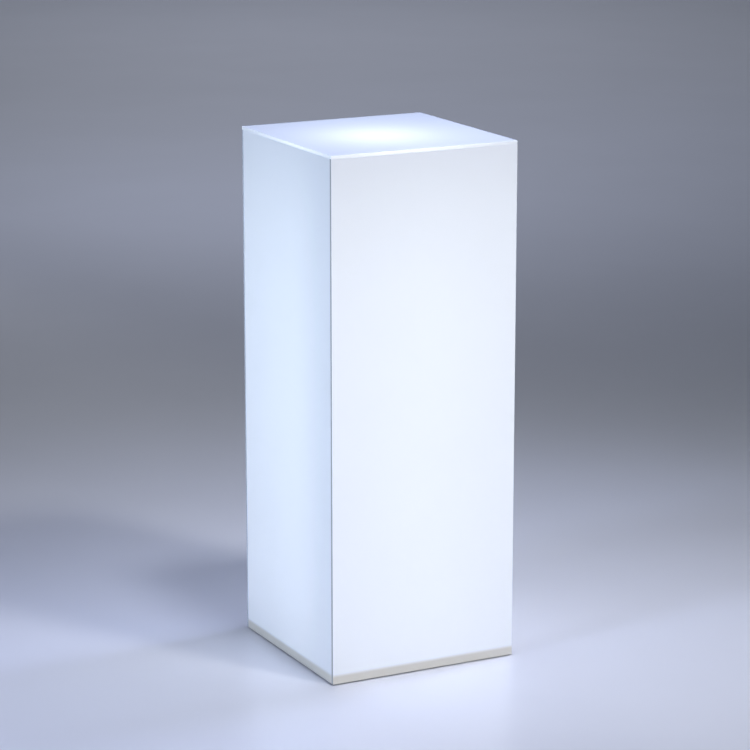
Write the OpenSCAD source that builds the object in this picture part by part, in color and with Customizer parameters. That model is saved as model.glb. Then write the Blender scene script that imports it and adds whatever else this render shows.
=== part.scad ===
// Illuminated square pedestal.
// A cover of five bonded opal acrylic sheets stands over a base board that carries a light column.
// The floor is z = 0 and the wide face seen in front is -Y. All sizes are in millimetres.

/* [Cover] */
// Outside width and depth of the cover
cover_w = 292; // [264:1:400]
// Height of the display face above the floor
total_h = 762; // [500:1:1100]
// Thickness of the acrylic sheet
sheet_t = 4.5; // [3:0.5:8]
// Polished chamfer on the outer edges
edge_chamfer = 0.5; // [0.2:0.1:1]
// Leg of the triangular blocks bonded in the inner bottom corners
rest_block_leg = 16; // [10:1:30]
// Height of those blocks
rest_block_h = 10; // [5:1:20]

/* [Cable notch in the back] */
// Width of the notch
notch_w = 64; // [56:1:76]
// Height of the notch above the top of the board
notch_rise = 28; // [26:1:30]
// Radius of its two upper corners
notch_r = 6; // [2:1:10]

/* [Base board] */
// Thickness of the board
board_t = 12.7; // [11:0.1:25]
// Gap between the board and the inside of the cover
board_gap = 0.75; // [0.3:0.05:2]
// Radius of the board's corners
board_r = 2; // [1:0.5:6]
// Diameter of a foot pad
pad_d = 25; // [15:1:40]
// Thickness of a foot pad
pad_t = 1.5; // [1:0.1:4]
// From the board's edges to the centre of a foot pad
pad_inset = 24; // [20:1:60]

/* [Column foot] */
// Width of the foot's plate
foot_w = 82; // [80:1:96]
// Thickness of that plate
foot_t = 5; // [4:0.5:10]
// Radius of the plate's corners
foot_r = 8; // [3:1:12]
// Wall of the square socket that holds the column
socket_wall = 5; // [4:0.5:8]
// Height of the socket above the plate
socket_h = 22; // [20:1:40]
// Gap between the column and its socket
socket_fit = 0.1; // [0.05:0.05:0.3]
// Thickness of a rib between socket and plate
rib_t = 4; // [3:0.5:6]
// From the centre line to the middle of a rib
rib_offset = 16; // [12:0.5:18]
// From the centre line to the foot's screws
foot_screw_offset = 32; // [31.5:0.5:33]

/* [Light column] */
// Width of the extruded column
post_w = 40; // [38:1:50]
// Radius of its outer corners
post_r = 2; // [1:0.5:4]
// From the top of the column to the top sheet
post_top_gap = 115; // [60:1:160]
// Wall behind the strip slots
post_wall = 2.6; // [1.5:0.1:4]
// Radius of the bosses for the end screws
boss_r = 4.4; // [3.5:0.1:5]
// From the centre line to the middle of a boss
boss_offset = 12.8; // [12:0.1:14]
// Thickness of the lips that hold the strips
lip_t = 1.1; // [0.8:0.1:2]
// How far a lip laps over a strip's slot
lip_lap = 1; // [0.5:0.1:2]
// Width of the cooling grooves
groove_w = 1.2; // [0.6:0.1:2]
// Depth of the cooling grooves
groove_depth = 1; // [0.5:0.1:2]
// From the centre line to the inner groove
groove_inner = 9; // [8.5:0.1:9.5]
// From the centre line to the outer groove
groove_outer = 17; // [16.5:0.1:17.2]

/* [Light strips] */
// Width of a strip's circuit board
strip_w = 12; // [10:0.5:12]
// Thickness of a circuit board
strip_t = 1.6; // [1:0.1:2]
// Gap between a strip and its slot
strip_fit = 0.2; // [0.1:0.05:0.4]
// From the socket to the lower end of a strip
strip_rise = 20; // [16:1:60]
// Width of a light chip
chip_w = 5; // [3:0.5:6]
// Height of a light chip
chip_h = 1.5; // [0.8:0.1:2]
// Distance between two chips along a strip
chip_pitch = 25; // [12:1:60]

/* [Top light] */
// Diameter of the plate that closes the column
crown_d = 66; // [60:1:90]
// Thickness of that plate
crown_t = 4; // [3:0.5:8]
// Diameter of the round circuit board
disc_d = 60; // [56:1:60]
// Radius of the inner ring of chips
ring_inner = 13; // [12:0.5:15]
// Radius of the outer ring of chips
ring_outer = 24; // [20:0.5:24]
// Chips in the inner ring
ring_inner_count = 6; // [4:1:8]
// Chips in the outer ring
ring_outer_count = 12; // [6:1:16]
// Width of the connector in the middle
plug_w = 9; // [7:0.5:10]
// Height of the connector in the middle
plug_h = 5; // [3:0.5:8]

/* [Inlet] */
// Thickness of the bracket's sheet
bracket_t = 1.5; // [1:0.1:2]
// Width of the bracket
bracket_w = 84; // [82:1:110]
// Height of the bracket
bracket_h = 32; // [31:1:40]
// Depth of the bracket's foot
bracket_foot = 18; // [16:1:24]
// Radius of the bracket's free corners
bracket_r = 5; // [2:1:8]
// From the centre line to the bracket's screws
bracket_screw_offset = 33; // [33:0.5:36]
// Height of the jack and the switch above the board
inlet_z = 15.5; // [14:0.5:16]
// Sideways place of the power jack
jack_x = -17; // [-20:0.5:-14]
// Sideways place of the switch
switch_x = 14; // [13:0.5:16]

/* [Power jack] */
// Diameter of the jack's barrel
jack_d = 8; // [7.5:0.1:9]
// Length of the barrel, behind the flange
jack_len = 15; // [13:0.5:18]
// Diameter of the jack's flange
jack_flange_d = 12; // [11:0.5:14]
// Thickness of the jack's flange
jack_flange_t = 1.5; // [1:0.1:2.5]
// Diameter of the socket for the plug
jack_bore_d = 5.6; // [5:0.1:6]
// Depth of the socket for the plug
jack_bore_len = 10; // [8:0.5:11]
// Diameter of the contact pin in the socket
jack_pin_d = 2; // [1.2:0.1:2.5]
// From the flange's face to the end of that pin
jack_pin_recess = 1; // [0.5:0.1:2]
// Width of the nut across its flats
nut_w = 11; // [10:0.5:13]
// Thickness of the nut
nut_t = 2.5; // [2:0.1:4]

/* [Switch] */
// Length of the switch's bezel
bezel_l = 21; // [20.5:0.1:22]
// Height of the switch's bezel
bezel_h = 15; // [14.6:0.1:16]
// Thickness of the switch's bezel
bezel_t = 2; // [1.5:0.1:2]
// Length of the housing behind the bezel
housing_l = 19; // [18.8:0.1:19.4]
// Height of the housing behind the bezel
housing_h = 12.8; // [12.8:0.1:13.4]
// Depth of the housing behind the bezel
housing_d = 14; // [12:0.5:18]
// Radius of the rocker's ends about its pivot
rocker_r = 8.4; // [7.8:0.1:8.4]
// Height of the rocker along its pivot
rocker_h = 10.2; // [8:0.1:10.2]
// From the pivot to the dip in the rocker's face
rocker_dip = 2.9; // [2.6:0.1:3]
// Angle of the rocker on each side of its middle
rocker_angle = 10; // [6:1:10]
// Gap round the rocker
rocker_gap = 0.2; // [0.1:0.05:0.3]
// Diameter of the rocker's pivot pins
pivot_d = 2.4; // [1.6:0.1:3]
// Gap between a pivot pin and its bearing
pivot_fit = 0.05; // [0.02:0.01:0.1]

/* [Wiring] */
// Diameter of the jacketed lead to the column
lead_d = 4.6; // [3:0.1:5]
// Diameter of a single wire
wire_d = 2; // [1.4:0.1:2.4]
// Width of the terminal block
block_w = 20; // [18:1:24]
// Depth of the terminal block
block_d = 16; // [14:1:18]
// Height of the terminal block
block_h = 12; // [10:0.5:14]
// From the ends of the inlet's tabs to the terminal block
block_gap = 14; // [12:1:20]
// From the edge of the foot's plate to the middle of the cable clip
clip_gap = 22; // [20:1:24]
// Diameter of a wood screw's shank
screw_d = 3.5; // [3:0.1:4]
// Gap between a screw and its hole
screw_fit = 0.05; // [0.02:0.01:0.1]

/* [Hidden] */
$fn = 48;

// A cut starts and ends this far past the face that it opens
over = 1;

// Levels
board_top = pad_t + board_t;
sheet_under = total_h - sheet_t;
wall_h = sheet_under - pad_t;
foot_top = board_top + foot_t;
socket_top = foot_top + socket_h;
post_top = sheet_under - post_top_gap;
crown_top = post_top + crown_t;
disc_top = crown_top + strip_t;

// Plan of the cover and the board
inner_half = cover_w / 2 - sheet_t;
board_w = 2 * (inner_half - board_gap);

// Section of the column
slot_w = strip_w + 2 * strip_fit;
slot_depth = strip_t + strip_fit;
slot_floor = post_w / 2 - lip_t - slot_depth;
cavity_w = 2 * (slot_floor - post_wall);
cavity_r = 2;
screw_port_d = 3;

// Strips
strip_z = socket_top + strip_rise;
strip_end_gap = 4;
chip_count = floor((post_top - strip_end_gap - strip_z) / chip_pitch);
strip_l = chip_count * chip_pitch;

// Column foot
socket_w = post_w + 2 * socket_fit;
socket_out = socket_w / 2 + socket_wall;
rib_run = foot_w / 2 - socket_out - 4;
rib_rise = socket_h - 4;
grub_d = 4;
grub_z = foot_top + socket_h / 2;

// Way of the lead into the column
grommet_bore = lead_d + 0.2;
grommet_d = grommet_bore + 4;
grommet_lip = 1.5;
grommet_lip_d = grommet_d + 4;
entry_z = foot_top + socket_h / 2;
entry_d = lead_d + 1.4;
sleeve_len = 10;
sleeve_d = lead_d + 2 * wire_d + 2;
sleeve_z = socket_top + 2;
wire_exit_z = strip_z - 5;
wire_hole_d = wire_d + 1.2;

// Screws
head_d = 2 * screw_d;
head_h = 0.5 * screw_d;
key_d = 0.6 * screw_d;
key_depth = 0.5 * head_h;
grip = 9;
crown_screw_d = screw_port_d - 2 * screw_fit;

// Inlet
bracket_face = board_w / 2;
inlet_h = board_top + inlet_z;
jack_hole_d = jack_d + 2 * screw_fit;
tab_len = 6;
tab_w = 4;
tab_t = 0.8;
tab_spread = 3;
flange_face = bracket_face + jack_flange_t;
jack_back = bracket_face - jack_len;
tab_end = jack_back - tab_len;
switch_back = bracket_face - housing_d;
switch_tab_len = switch_back - tab_end;
bezel_face = bracket_face + bezel_t;
bezel_rise = 0.26;
pivot_y = bezel_face + bezel_rise - rocker_dip * cos(rocker_angle);
rocker_depth = 1.2;
rocker_hub = 2.6;
well_l = 2 * (rocker_r + 0.3);
well_h = rocker_h + 2 * rocker_gap;
well_floor = pivot_y - rocker_r * sin(rocker_angle) - rocker_depth - 0.8;
pivot_len = 0.8;
switch_tab_spread = 5;

// Terminal block
block_back = tab_end - block_gap;
block_y = block_back - block_d / 2;
block_front = block_back - block_d;
block_entry_z = board_top + 5;
clamp_x = 5;
clamp_y = block_d / 2 - 4;
clamp_d = 4;
clamp_h = 2;
clamp_well = 4;
fixing_d = 3;

// Lead along the board
lead_bend = 8;
clip_y = foot_w / 2 + clip_gap;
rise_y = foot_w / 2 + lead_bend;
lead_r = lead_d / 2;
lead_lie = 0.1;
lead_z = board_top + lead_r + lead_lie;
clip_w = 8;
clip_t = 1.6;
clip_bore = lead_r + lead_lie;
clip_foot = 9;

// ---- Shared shapes ----

module rounded_rect(w, d, r) {
    square([w - 2 * r, d], center = true);
    square([w, d - 2 * r], center = true);
    for (x = [-1, 1], y = [-1, 1])
        translate([x * (w / 2 - r), y * (d / 2 - r)]) circle(r);
}

module four(x, y) {
    for (sx = [-1, 1], sy = [-1, 1])
        translate([sx * x, sy * y, 0]) children();
}

module each_side() {
    for (turn = [0 : 90 : 270])
        rotate(turn) children();
}

// Pan head screw, its head above z = 0
module pan_screw(d, grip) {
    translate([0, 0, -grip]) cylinder(h = grip, d = d);
    difference() {
        cylinder(h = head_h, d1 = head_d, d2 = head_d * 0.8);
        translate([0, 0, head_h - key_depth]) cylinder(h = key_depth + over, d = key_d, $fn = 6);
    }
}

// Countersunk screw, its head flush with z = 0
module flush_screw(d, grip) {
    difference() {
        union() {
            translate([0, 0, -d / 2]) cylinder(h = d / 2, d1 = d, d2 = 2 * d);
            translate([0, 0, -grip]) cylinder(h = grip, d = d);
        }
        translate([0, 0, -key_depth]) cylinder(h = key_depth + over, d = key_d, $fn = 6);
    }
}

// The hole for that screw
module flush_hole(d, depth) {
    translate([0, 0, -d / 2 - screw_fit]) cylinder(h = d / 2, d1 = d, d2 = 2 * d);
    translate([0, 0, -screw_fit - 0.001]) cylinder(h = over, d = 2 * d);
    translate([0, 0, -depth]) cylinder(h = depth, d = d + 2 * screw_fit);
}

// A straight pilot hole down from z = 0
module pilot(d, depth) {
    translate([0, 0, -depth]) cylinder(h = depth + over, d = d + 2 * screw_fit);
}

// ---- Round wires along a route ----

function unit(v) = v / norm(v);
function toward(from, to, step) = from + unit(to - from) * min(step, norm(to - from) / 2);

// The route with each corner rounded over the length `bend`
function eased(route, bend, steps = 4) = concat(
    [route[0]],
    [for (i = [1 : len(route) - 2], k = [0 : steps])
        let (t = k / steps, a = toward(route[i], route[i - 1], bend), b = toward(route[i], route[i + 1], bend))
        a * (1 - t) * (1 - t) + route[i] * 2 * t * (1 - t) + b * t * t],
    [route[len(route) - 1]]
);

// Direction of the path at point i
function heading(path, i) =
    unit(path[min(i + 1, len(path) - 1)] - path[max(i - 1, 0)]);

// A sideways direction carried from point to point without twist
function carried(path, side, i = 0, made = []) =
    i == len(path) ? made :
    let (h = heading(path, i), s = unit(side - h * (side * h)))
    carried(path, s, i + 1, concat(made, [s]));

module wire(route, d, bend, start_side = [1, 0, 0], sides = 8) {
    path = eased(route, bend);
    side = carried(path, start_side);
    rings = len(path);
    points = [for (i = [0 : rings - 1], k = [0 : sides - 1])
        let (h = heading(path, i), a = 360 * (k + 0.5) / sides)
        path[i] + d / 2 * (cos(a) * side[i] + sin(a) * cross(h, side[i]))];
    around = [for (i = [0 : rings - 2], k = [0 : sides - 1])
        let (n = (k + 1) % sides, p = i * sides, q = p + sides)
        each [[p + k, q + k, p + n], [p + n, q + k, q + n]]];
    first = [[for (k = [0 : sides - 1]) k]];
    last = [[for (k = [sides - 1 : -1 : 0]) (rings - 1) * sides + k]];
    polyhedron(points, concat(around, first, last), convexity = 6);
}

// ---- Cover ----

// Sheet standing on edge, with its outer face toward -Y and its outer vertical edges polished off
module standing_sheet() {
    half = cover_w / 2;
    translate([0, -half, pad_t])
        linear_extrude(wall_h)
            polygon([
                [-half, sheet_t], [-half, edge_chamfer], [edge_chamfer - half, 0],
                [half - edge_chamfer, 0], [half, edge_chamfer], [half, sheet_t]
            ]);
}

module side_sheet() {
    translate([-cover_w / 2, -inner_half, pad_t]) cube([sheet_t, 2 * inner_half, wall_h]);
}

// Plate edge seen along its length: the two upper corners are polished off
module lid_profile() {
    half = cover_w / 2;
    polygon([
        [-half, sheet_under], [half, sheet_under], [half, total_h - edge_chamfer],
        [half - edge_chamfer, total_h], [edge_chamfer - half, total_h], [-half, total_h - edge_chamfer]
    ]);
}

module top_panel() {
    half = cover_w / 2;
    c = edge_chamfer;
    color("white")
        intersection() {
            rotate([90, 0, 0]) linear_extrude(cover_w, center = true) lid_profile();
            rotate([90, 0, 90]) linear_extrude(cover_w, center = true) lid_profile();
            linear_extrude(total_h)
                polygon([
                    [c - half, -half], [half - c, -half], [half, c - half], [half, half - c],
                    [half - c, half], [c - half, half], [-half, half - c], [-half, c - half]
                ]);
        }
}

module front_panel() {
    color("ghostwhite") standing_sheet();
}

module notch() {
    top = board_top + notch_rise;
    rotate([90, 0, 0])
        translate([0, 0, -cover_w / 2 - over])
            linear_extrude(sheet_t + 2 * over) {
                translate([-notch_w / 2, 0]) square([notch_w, top - notch_r]);
                translate([notch_r - notch_w / 2, 0]) square([notch_w - 2 * notch_r, top]);
                for (side = [-1, 1])
                    translate([side * (notch_w / 2 - notch_r), top - notch_r]) circle(notch_r);
            }
}

module back_panel() {
    color("ghostwhite")
        difference() {
            rotate(180) standing_sheet();
            notch();
        }
}

module left_panel() {
    color("whitesmoke") side_sheet();
}

module right_panel() {
    color("whitesmoke") rotate(180) side_sheet();
}

// Bonded into the corners, they carry the cover on the board
module rest_blocks() {
    color("white")
        each_side()
            translate([-inner_half, -inner_half, board_top])
                linear_extrude(rest_block_h)
                    polygon([[0, 0], [rest_block_leg, 0], [0, rest_block_leg]]);
}

// ---- Base board ----

module base_board() {
    color("linen")
        difference() {
            translate([0, 0, pad_t]) linear_extrude(board_t) rounded_rect(board_w, board_w, board_r);
            translate([0, 0, board_top]) {
                four(foot_screw_offset, foot_screw_offset) pilot(screw_d, grip);
                for (side = [-1, 1])
                    translate([side * bracket_screw_offset, bracket_face - bracket_foot / 2, 0])
                        pilot(screw_d, grip);
                translate([0, block_y, 0]) pilot(fixing_d, grip);
                translate([clip_bore + clip_t + clip_foot / 2, clip_y, 0]) pilot(screw_d, grip);
            }
        }
}

module foot_pads() {
    spread = board_w / 2 - pad_inset;
    color("dimgray") four(spread, spread) cylinder(h = pad_t, d = pad_d);
}

// ---- Column foot ----

// Rib with a straight sloping back, from the socket's wall down to the plate
module rib() {
    rotate([90, 0, 0])
        linear_extrude(rib_t, center = true)
            polygon([
                [socket_out - over, 0], [socket_out + rib_run, 0], [socket_out + rib_run, 1],
                [socket_out, rib_rise], [socket_out - over, rib_rise]
            ]);
}

module column_foot() {
    color("silver")
        difference() {
            translate([0, 0, board_top]) {
                linear_extrude(foot_t) rounded_rect(foot_w, foot_w, foot_r);
                linear_extrude(foot_t + socket_h) rounded_rect(2 * socket_out, 2 * socket_out, post_r + socket_wall);
                translate([0, 0, foot_t])
                    each_side()
                        for (side = [-1, 1])
                            translate([0, side * rib_offset, 0]) rib();
            }
            translate([0, 0, foot_top]) linear_extrude(socket_h + over) square(socket_w, center = true);
            translate([0, 0, foot_top]) four(foot_screw_offset, foot_screw_offset) flush_hole(screw_d, foot_t + over);
            translate([0, 0, entry_z])
                rotate([-90, 0, 0]) cylinder(h = foot_w, d = grommet_d);
            grub_line(grub_d + 2 * screw_fit, socket_wall + 2 * over, over);
        }
}

// Round bars through the socket's left and right walls, onto the flat land between the grooves
module grub_line(d, len, inset) {
    for (side = [-1, 1])
        translate([side * (socket_w / 2 - inset), (groove_inner + groove_outer) / 2, grub_z])
            rotate([0, side * 90, 0]) cylinder(h = len, d = d);
}

module foot_screws() {
    color("gray")
        translate([0, 0, foot_top])
            four(foot_screw_offset, foot_screw_offset) flush_screw(screw_d, foot_t + grip - over);
}

module grub_screws() {
    color("dimgray")
        difference() {
            grub_line(grub_d, socket_wall + socket_fit, socket_fit);
            for (side = [-1, 1])
                translate([side * socket_out, (groove_inner + groove_outer) / 2, grub_z])
                    rotate([0, 90, 0]) cylinder(h = 2 * key_d, d = key_d, center = true, $fn = 6);
        }
}

// ---- Light column ----

module column_section() {
    difference() {
        rounded_rect(post_w, post_w, post_r);
        difference() {
            rounded_rect(cavity_w, cavity_w, cavity_r);
            four(boss_offset, boss_offset) circle(boss_r);
        }
        four(boss_offset, boss_offset) circle(d = screw_port_d);
        each_side() {
            translate([-slot_w / 2, slot_floor]) square([slot_w, slot_depth]);
            translate([lip_lap - slot_w / 2, slot_floor])
                square([slot_w - 2 * lip_lap, slot_depth + lip_t + over]);
            for (side = [-1, 1], x = [groove_inner, groove_outer])
                translate([side * x - groove_w / 2, post_w / 2 - groove_depth])
                    square([groove_w, groove_depth + over]);
        }
    }
}

module light_column() {
    color("lightgray")
        difference() {
            translate([0, 0, foot_top]) linear_extrude(post_top - foot_top) column_section();
            each_side()
                translate([0, cavity_w / 2 - over, wire_exit_z])
                    rotate([-90, 0, 0]) cylinder(h = post_w / 2, d = wire_hole_d);
            translate([0, cavity_w / 2 - over, entry_z])
                rotate([-90, 0, 0]) cylinder(h = post_w / 2, d = entry_d);
        }
}

// ---- Light strips ----

// A strip in the slot of the -Y side, turned to its own side
module strip(turn) {
    color("white")
        rotate(turn)
            translate([-strip_w / 2, -slot_floor - strip_t, strip_z]) cube([strip_w, strip_t, strip_l]);
}

module light_strip_front() {
    strip(0);
}

module light_strip_right() {
    strip(90);
}

module light_strip_back() {
    strip(180);
}

module light_strip_left() {
    strip(270);
}

module strip_chips() {
    color("khaki")
        each_side()
            for (k = [0 : chip_count - 1])
                translate([
                    -chip_w / 2,
                    -slot_floor - strip_t - chip_h,
                    strip_z + (k + 0.5) * chip_pitch - chip_w / 2
                ])
                    cube([chip_w, chip_h, chip_w]);
}

// ---- Top light ----

module crown_plate() {
    color("lightgray")
        difference() {
            translate([0, 0, post_top]) cylinder(h = crown_t, d = crown_d);
            translate([0, 0, post_top - over]) cylinder(h = crown_t + 2 * over, d = entry_d);
            translate([0, 0, crown_top])
                four(boss_offset, boss_offset) flush_hole(crown_screw_d, crown_t + over);
        }
}

module crown_screws() {
    color("gray")
        translate([0, 0, crown_top])
            four(boss_offset, boss_offset) flush_screw(crown_screw_d, crown_t + grip);
}

module disc_board() {
    color("white")
        difference() {
            translate([0, 0, crown_top]) cylinder(h = strip_t, d = disc_d);
            translate([0, 0, crown_top - over]) cylinder(h = strip_t + 2 * over, d = entry_d);
        }
}

module chip_ring(radius, count, phase) {
    for (k = [0 : count - 1])
        rotate(360 * (k + phase) / count)
            translate([radius - chip_w / 2, -chip_w / 2, disc_top]) cube([chip_w, chip_w, chip_h]);
}

module disc_chips() {
    color("khaki") {
        chip_ring(ring_inner, ring_inner_count, 0.5);
        chip_ring(ring_outer, ring_outer_count, 0);
    }
}

module disc_connector() {
    color("ivory")
        translate([0, 0, disc_top]) linear_extrude(plug_h) rounded_rect(plug_w, plug_w, 1);
}

// ---- Inlet ----

// The bent sheet seen along X: foot, bend and upright, from the outer face at x = 0
module bracket_profile() {
    bend_r = 2 * bracket_t;
    translate([-bracket_foot, 0]) square([bracket_foot - bend_r, bracket_t]);
    translate([-bracket_t, bend_r]) square([bracket_t, bracket_h - bend_r]);
    translate([-bend_r, bend_r])
        difference() {
            circle(bend_r);
            circle(bend_r - bracket_t);
            translate([-bend_r - over, 0]) square(2 * (bend_r + over));
            translate([-bend_r - over, -bend_r - over]) square([bend_r + over, 2 * (bend_r + over)]);
        }
}

module inlet_bracket() {
    color("gainsboro")
        difference() {
            translate([0, bracket_face, board_top])
                rotate([90, 0, 90]) linear_extrude(bracket_w, center = true) bracket_profile();
            // Free corners of the upright
            for (side = [-1, 1])
                translate([side * (bracket_w / 2 - bracket_r), bracket_face + over, board_top + bracket_h - bracket_r])
                    rotate([90, 0, 0])
                        linear_extrude(bracket_t + 2 * over)
                            difference() {
                                translate([side > 0 ? 0 : -bracket_r - over, 0]) square(bracket_r + over);
                                circle(bracket_r);
                            }
            translate([jack_x, bracket_face + over, inlet_h])
                rotate([90, 0, 0]) cylinder(h = bracket_t + 2 * over, d = jack_hole_d);
            translate([switch_x, bracket_face, inlet_h])
                cube([housing_l + 4 * screw_fit, 2 * bracket_t + over, housing_h + 4 * screw_fit], center = true);
            for (side = [-1, 1])
                translate([side * bracket_screw_offset, bracket_face - bracket_foot / 2, board_top + bracket_t])
                    pilot(screw_d, bracket_t + over);
        }
}

module bracket_screws() {
    color("gray")
        for (side = [-1, 1])
            translate([side * bracket_screw_offset, bracket_face - bracket_foot / 2, board_top + bracket_t])
                pan_screw(screw_d, grip);
}

// ---- Power jack ----

module power_jack() {
    color("#303030")
        translate([jack_x, flange_face, inlet_h])
            rotate([90, 0, 0])
                difference() {
                    union() {
                        cylinder(h = jack_flange_t, d = jack_flange_d);
                        cylinder(h = jack_flange_t + jack_len, d = jack_d);
                    }
                    translate([0, 0, -over]) cylinder(h = jack_bore_len + over, d = jack_bore_d);
                }
}

// The pin in the socket and the two solder tabs behind
module jack_contacts() {
    color("silver")
        translate([jack_x, 0, inlet_h]) {
            translate([0, flange_face - jack_bore_len, 0])
                rotate([-90, 0, 0]) cylinder(h = jack_bore_len - jack_pin_recess, d = jack_pin_d);
            for (side = [-1, 1])
                translate([-tab_w / 2, tab_end, side * tab_spread - tab_t / 2]) cube([tab_w, tab_len, tab_t]);
        }
}

module jack_nut() {
    color("silver")
        translate([jack_x, bracket_face - bracket_t, inlet_h])
            rotate([90, 0, 0])
                difference() {
                    rotate(30) cylinder(h = nut_t, d = nut_w / cos(30), $fn = 6);
                    translate([0, 0, -over]) cylinder(h = nut_t + 2 * over, d = jack_hole_d);
                }
}

// ---- Switch ----

module switch_body() {
    color("#262626")
        difference() {
            translate([switch_x, 0, inlet_h]) {
                translate([0, bezel_face, 0])
                    rotate([90, 0, 0]) linear_extrude(bezel_t) rounded_rect(bezel_l, bezel_h, 1.5);
                translate([-housing_l / 2, switch_back, -housing_h / 2]) cube([housing_l, housing_d + over, housing_h]);
            }
            translate([switch_x - well_l / 2, well_floor, inlet_h - well_h / 2])
                cube([well_l, bezel_face - well_floor + over, well_h]);
            translate([switch_x, pivot_y, inlet_h])
                cylinder(h = well_h + 2 * pivot_len + 2 * pivot_fit, d = pivot_d + 2 * pivot_fit, center = true);
        }
}

module switch_contacts() {
    color("silver")
        for (side = [-1, 1])
            translate([switch_x + side * switch_tab_spread - tab_t / 2, tab_end, inlet_h - tab_w / 2])
                cube([tab_t, switch_tab_len, tab_w]);
}

// Seen along its pivot: two faces that meet in a dip, and round ends about the pivot
module rocker_profile() {
    reach = rocker_r + over;
    intersection() {
        circle(rocker_r);
        polygon([
            [-reach, -rocker_depth], [reach, -rocker_depth], [reach, rocker_dip + reach * tan(rocker_angle)],
            [0, rocker_dip], [-reach, rocker_dip + reach * tan(rocker_angle)]
        ]);
    }
    circle(rocker_hub);
}

module rocker() {
    color("#3a3a3a")
        translate([switch_x, pivot_y, inlet_h])
            rotate(rocker_angle) {
                linear_extrude(rocker_h, center = true) rocker_profile();
                cylinder(h = well_h + 2 * pivot_len, d = pivot_d, center = true);
            }
}

// ---- Wiring ----

module terminal_block() {
    color("ivory")
        difference() {
            translate([0, block_y, board_top]) {
                translate([-block_w / 2, -block_d / 2, 0]) cube([block_w, block_d, block_h - 3]);
                rotate([90, 0, 0])
                    translate([0, block_h / 2, -block_d / 2]) linear_extrude(block_d) rounded_rect(block_w - 2, block_h, 1);
            }
            translate([0, block_y, board_top + block_h]) {
                four(clamp_x, clamp_y) pilot(clamp_d, clamp_well);
                pilot(fixing_d, block_h + over);
                translate([0, 0, -clamp_well]) cylinder(h = clamp_well + over, d = 2 * fixing_d);
            }
        }
}

module terminal_screws() {
    color("goldenrod")
        translate([0, block_y, board_top + block_h - clamp_well]) {
            four(clamp_x, clamp_y)
                difference() {
                    cylinder(h = clamp_h, d = clamp_d);
                    translate([0, 0, clamp_h]) cube([clamp_d + over, 0.8, 1], center = true);
                }
            difference() {
                union() {
                    cylinder(h = clamp_h, d = 2 * fixing_d - 2 * screw_fit);
                    translate([0, 0, clamp_well - block_h - grip + over])
                        cylinder(h = block_h - clamp_well + grip, d = fixing_d);
                }
                translate([0, 0, clamp_h]) cube([2 * fixing_d + over, 0.8, 1], center = true);
            }
        }
}

// Jack to switch, jack to terminal block and switch to terminal block
module inlet_wires() {
    low = inlet_h - tab_spread;
    high = inlet_h + tab_spread;
    near = tab_end - 4;
    color("firebrick")
        wire([
            [jack_x, tab_end, high], [jack_x, near, high],
            [switch_x - switch_tab_spread, near, inlet_h], [switch_x - switch_tab_spread, tab_end, inlet_h]
        ], wire_d, 4);
    color("black")
        wire([
            [jack_x, tab_end, low], [jack_x, near - 1, low],
            [-clamp_x, block_back + 5, block_entry_z], [-clamp_x, block_back, block_entry_z]
        ], wire_d, 3);
    color("firebrick")
        wire([
            [switch_x + switch_tab_spread, tab_end, inlet_h], [switch_x + switch_tab_spread, near - 1, inlet_h],
            [clamp_x, block_back + 5, block_entry_z], [clamp_x, block_back, block_entry_z]
        ], wire_d, 3);
}

// From the terminal block along the board, into the column and up to the top light
module column_lead() {
    color("lightsteelblue")
        wire([
            [0, block_front, block_entry_z], [0, block_front - 3, block_entry_z],
            [0, block_front - 8, lead_z], [0, rise_y, lead_z],
            [0, socket_out + grommet_lip + lead_bend, entry_z], [0, 0, entry_z], [0, 0, disc_top]
        ], lead_d, lead_bend, [1, 0, 0], 12);
}

module splice_sleeve() {
    color("#444444")
        difference() {
            translate([0, 0, sleeve_z]) cylinder(h = sleeve_len, d = sleeve_d);
            translate([0, 0, sleeve_z - over]) cylinder(h = sleeve_len + 2 * over, d = lead_d + 2 * lead_lie);
        }
}

// From the sleeve, out through the column's wall and onto the foot of each strip
module strip_wires() {
    start = lead_r + lead_lie + wire_d / 2 + 0.1;
    lie = slot_floor + strip_t + wire_d / 2 + lead_lie;
    color("firebrick")
        each_side()
            wire([
                [0, -start, sleeve_z + sleeve_len], [0, -start, wire_exit_z],
                [0, -lie, wire_exit_z], [0, -lie, strip_z + 4]
            ], wire_d, 3);
}

module lead_grommet() {
    color("#2b2b2b")
        translate([0, 0, entry_z])
            rotate([-90, 0, 0])
                difference() {
                    union() {
                        translate([0, 0, socket_w / 2]) cylinder(h = socket_wall, d = grommet_d - 2 * screw_fit);
                        translate([0, 0, socket_out]) cylinder(h = grommet_lip, d = grommet_lip_d);
                    }
                    translate([0, 0, socket_w / 2 - over])
                        cylinder(h = socket_wall + grommet_lip + 2 * over, d = grommet_bore);
                }
}

// Saddle over the lead, with one foot
module cable_clip() {
    outer = clip_bore + clip_t;
    color("white")
        difference() {
            translate([0, clip_y + clip_w / 2, board_top])
                rotate([90, 0, 0])
                    linear_extrude(clip_w) {
                        difference() {
                            union() {
                                translate([0, clip_bore]) circle(outer);
                                translate([-outer, 0]) square([2 * outer, clip_bore]);
                            }
                            translate([0, clip_bore]) circle(clip_bore);
                            translate([-clip_bore, -over]) square([2 * clip_bore, clip_bore + over]);
                            translate([-outer, -2 * outer]) square([2 * outer, 2 * outer]);
                        }
                        translate([outer - over, 0]) square([clip_foot + over, clip_t]);
                    }
            translate([outer + clip_foot / 2, clip_y, board_top + clip_t]) pilot(screw_d, clip_t + over);
        }
}

module clip_screw() {
    color("gray")
        translate([clip_bore + clip_t + clip_foot / 2, clip_y, board_top + clip_t]) pan_screw(screw_d, grip);
}

// ---- Pieces by name ----

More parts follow.
